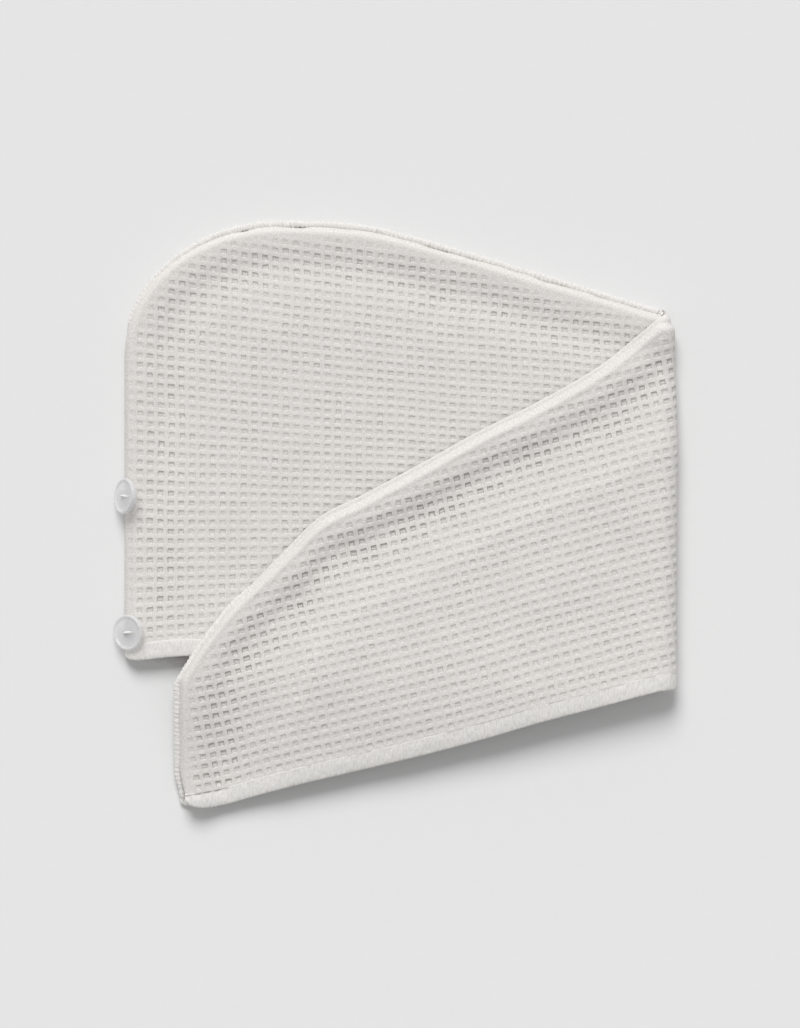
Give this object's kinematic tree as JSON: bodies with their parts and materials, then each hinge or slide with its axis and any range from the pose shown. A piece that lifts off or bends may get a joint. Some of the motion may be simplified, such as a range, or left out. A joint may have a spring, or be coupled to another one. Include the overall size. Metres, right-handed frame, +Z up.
{
  "type": "hair turban towel",
  "caption": "Waffle-weave hair turban towel lying folded: a hood with its tapering tail turned back over it, an open hemmed edge and round buttons at the nape.",
  "frame": {"origin": "under the middle of the folded towel, on the table it lies on", "axes": "+X from the nape edge with the buttons to the fold, +Y from the hemmed opening to the crown, +Z up from the table"},
  "size_m": [0.3566, 0.3712, 0.0223],
  "materials": {
    "waffle_cotton": "matte waffle weave, warm off-white",
    "hem_cotton": "matte turned hem of the same cotton",
    "clear_resin": "clear polished resin",
    "sewing_thread": "white sewing thread"
  },
  "bodies": {
    "root": {"far_panel": "waffle_cotton", "near_panel": "waffle_cotton", "far_hem": "hem_cotton", "near_hem": "hem_cotton", "upper_button": "clear_resin", "lower_button": "clear_resin", "upper_thread": "sewing_thread", "lower_thread": "sewing_thread"}
  },
  "joints": []
}
